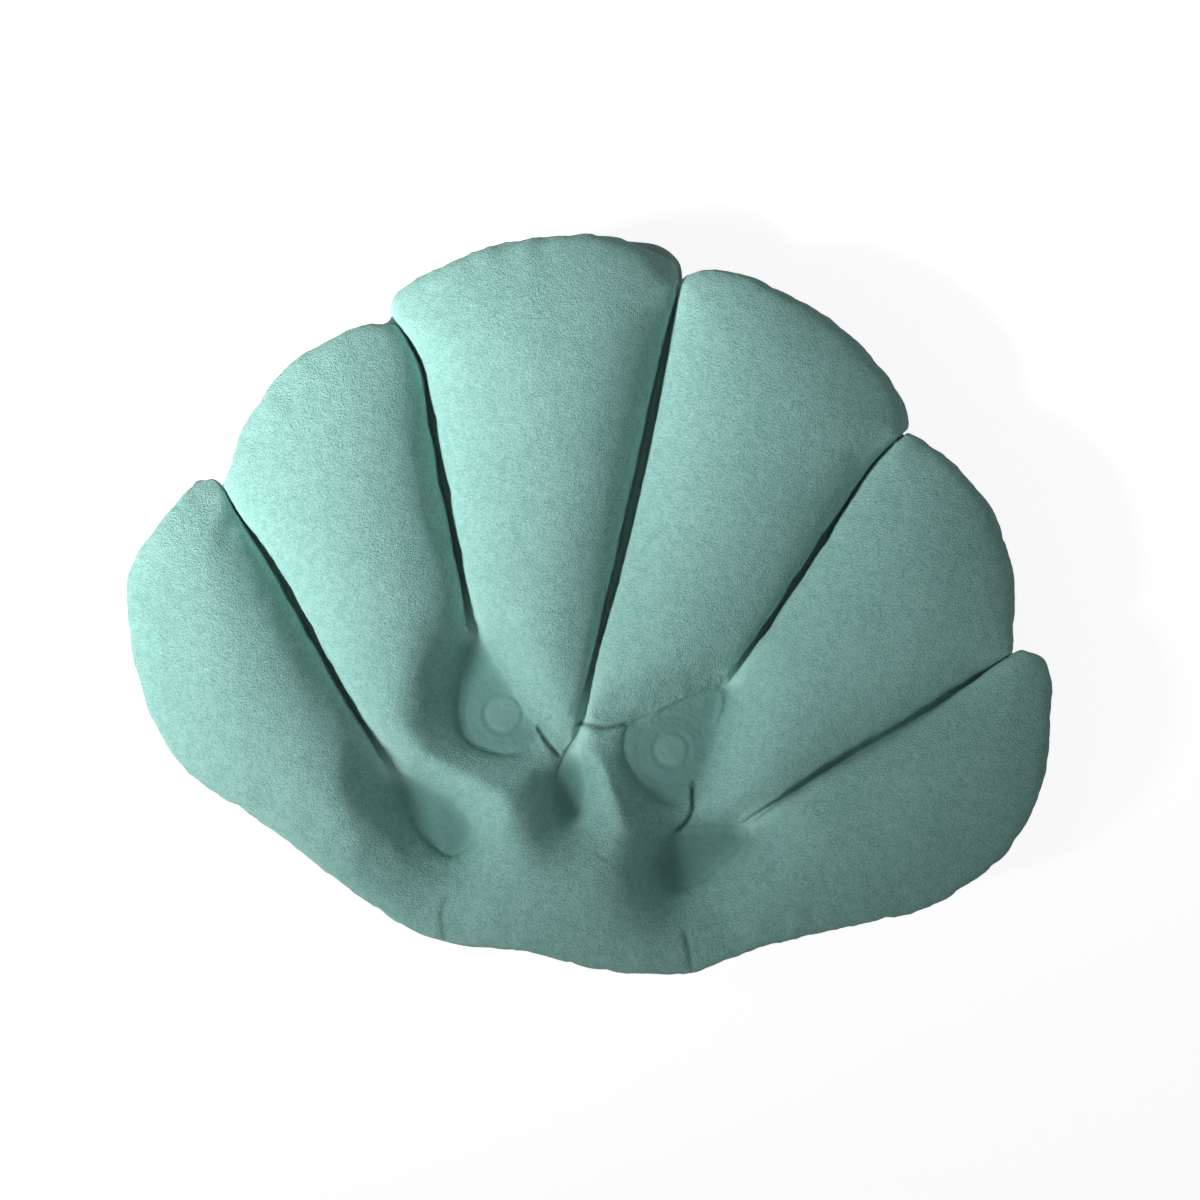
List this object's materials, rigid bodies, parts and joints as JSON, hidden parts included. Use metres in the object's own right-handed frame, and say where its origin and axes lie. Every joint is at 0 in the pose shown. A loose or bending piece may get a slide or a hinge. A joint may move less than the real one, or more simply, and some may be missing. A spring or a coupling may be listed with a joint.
{
  "type": "bath pillow",
  "caption": "Inflatable scallop-shaped bath pillow with a terry cloth front, a film back, suction cups on welded patches and an inflation valve.",
  "frame": {"origin": "under the middle of the pillow's outline, on the surface that it lies on", "axes": "+X across the fan, +Y from the hub towards the fan's rounded rim, +Z out of the terry front"},
  "size_m": [0.4016, 0.3042, 0.0685],
  "materials": {
    "terry": "looped terry cloth, mint green",
    "film": "satin vinyl film, mint green",
    "soft_vinyl": "clear soft vinyl, glossy",
    "valve_vinyl": "soft moulded vinyl, satin"
  },
  "bodies": {
    "pillow": {"terry_face": "terry", "front_film": "film", "back_film": "film", "cup_patch_left": "film", "cup_patch_right": "film", "valve_flange": "valve_vinyl"},
    "cup_left": {"suction_cup_left": "soft_vinyl"},
    "cup_right": {"suction_cup_right": "soft_vinyl"},
    "stem": {"valve_stem": "valve_vinyl"},
    "flap": {"valve_flap": "soft_vinyl"},
    "cap": {"valve_cap": "valve_vinyl"}
  },
  "joints": [
    {"name": "cup_left_spin", "type": "hinge", "parent": "pillow", "child": "cup_left", "pos_m": [-0.03725, -0.05144, 0.02], "axis": [0, 0, 1], "continuous": true},
    {"name": "cup_right_spin", "type": "hinge", "parent": "pillow", "child": "cup_right", "pos_m": [0.03725, -0.05144, 0.02], "axis": [0, 0, 1], "continuous": true},
    {"name": "valve_pull", "type": "slide", "parent": "pillow", "child": "stem", "axis": [0, 0, -1], "range_m": [0, 0.008]},
    {"name": "valve_flap_swing", "type": "hinge", "parent": "stem", "child": "flap", "pos_m": [0, -0.12262, 0.02114], "axis": [1, 0, 0], "range_deg": [0, 60]},
    {"name": "valve_cap_swing", "type": "hinge", "parent": "stem", "child": "cap", "pos_m": [0, -0.10822, 0.00319], "axis": [1, 0, 0], "range_deg": [0, 150]}
  ]
}
